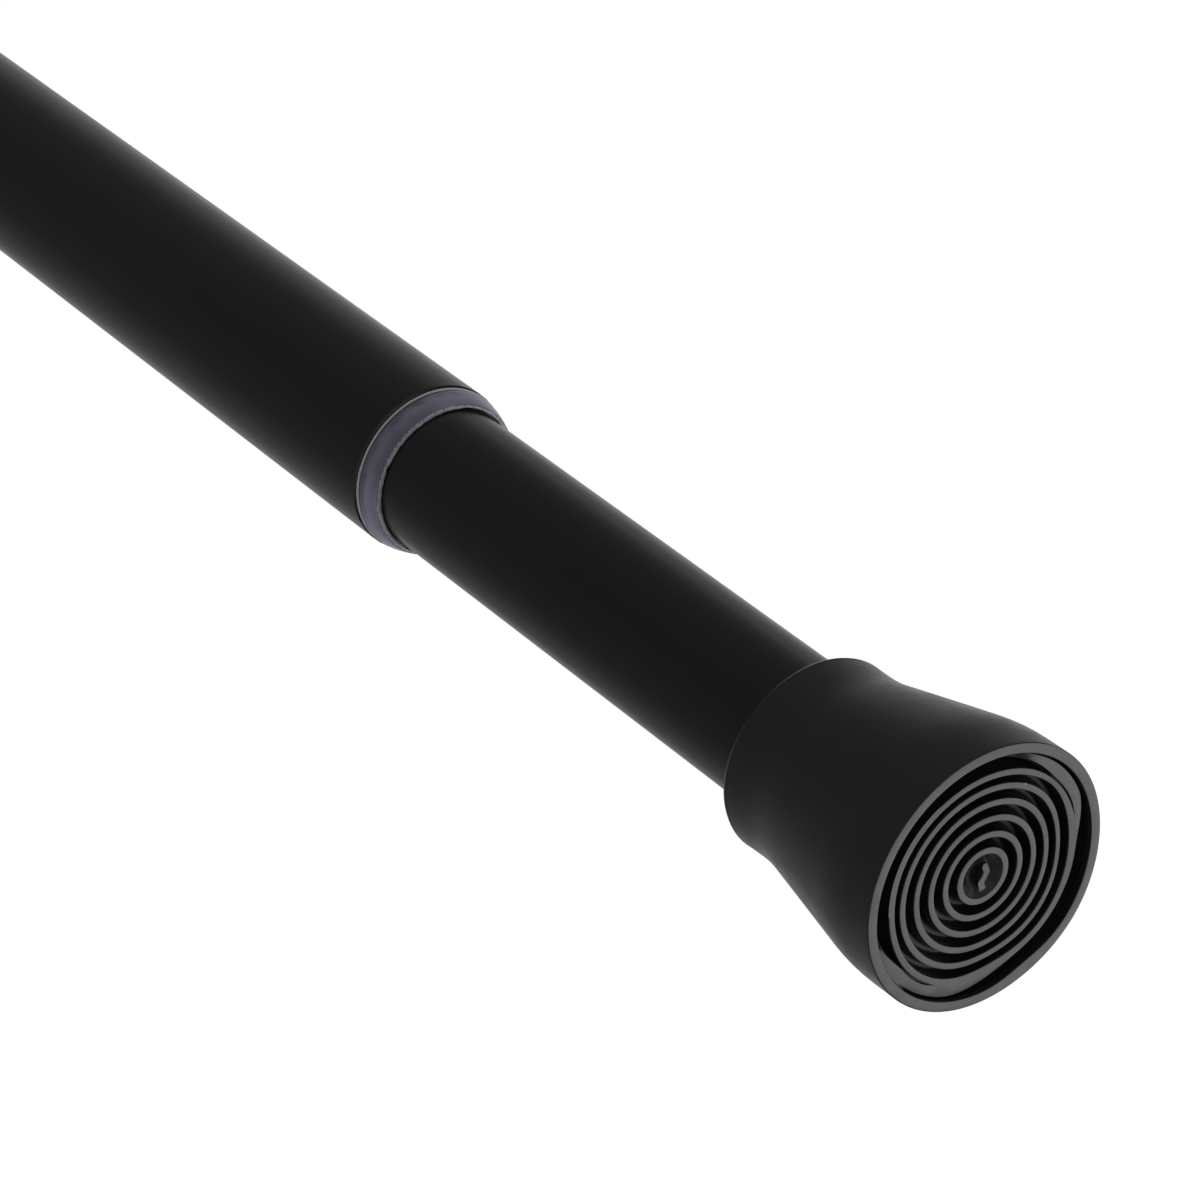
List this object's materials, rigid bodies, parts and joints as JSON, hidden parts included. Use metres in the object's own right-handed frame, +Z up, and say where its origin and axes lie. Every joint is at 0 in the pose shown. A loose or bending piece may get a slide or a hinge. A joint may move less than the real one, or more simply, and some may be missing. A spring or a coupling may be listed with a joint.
{
  "type": "pull up bar",
  "caption": "Telescopic doorway pull up bar: two black steel tubes with an inner screw, a translucent guide collar and round rubber feet with concentric treads.",
  "frame": {"origin": "centre of the face of the thick tube's rubber foot, on the bar's axis", "axes": "+X along the bar towards the thin tube's foot, +Z up with the bar level, +Y across it"},
  "size_m": [0.796, 0.051, 0.0512],
  "materials": {
    "black_powder_coat": "satin black powder coat on steel tube",
    "black_powder_coat_fine": "smooth satin black paint on steel tube",
    "translucent_grey_plastic": "translucent moulded plastic, satin",
    "black_rubber": "matt moulded rubber with concentric tread",
    "zinc_plated_steel": "bright zinc plate",
    "die_cast_zinc": "as cast, dull grey",
    "spring_steel": "dark oiled spring steel",
    "rolled_screw_steel": "rolled thread, greased",
    "bearing_brass": "turned brass",
    "natural_nylon": "natural nylon, slightly waxy"
  },
  "bodies": {
    "thick_tube": {"outer_tube": "black_powder_coat", "guide_collar": "translucent_grey_plastic", "outer_foot": "black_rubber", "outer_foot_disc": "zinc_plated_steel", "outer_end_plug": "die_cast_zinc", "outer_plug_pin": "spring_steel", "spindle": "rolled_screw_steel", "anchor_nut": "zinc_plated_steel", "anchor_washer": "zinc_plated_steel", "stop_washer": "zinc_plated_steel", "spindle_guide": "natural_nylon", "guide_nut": "zinc_plated_steel"},
    "sliding_foot": {"inner_foot": "black_rubber", "foot_disc": "zinc_plated_steel", "foot_liner": "natural_nylon", "thrust_washer": "natural_nylon"},
    "thin_tube": {"inner_tube": "black_powder_coat_fine", "drive_nut": "bearing_brass", "nut_pins": "spring_steel", "tail_bush": "natural_nylon", "inner_end_plug": "die_cast_zinc", "inner_plug_pin": "spring_steel", "swivel_bolt": "zinc_plated_steel"}
  },
  "joints": [
    {"name": "extension", "type": "slide", "parent": "thick_tube", "child": "sliding_foot", "axis": [1, 0, 0], "range_m": [-0.105, 0.26]},
    {"name": "tube_twist", "type": "hinge", "parent": "sliding_foot", "child": "thin_tube", "pos_m": [0.7825, 0, 0], "axis": [1, 0, 0], "range_deg": [-9451, 23401]}
  ],
  "couplings": [
    {"joint": "tube_twist", "follows": "extension", "rad_per_m": 1570.8}
  ]
}
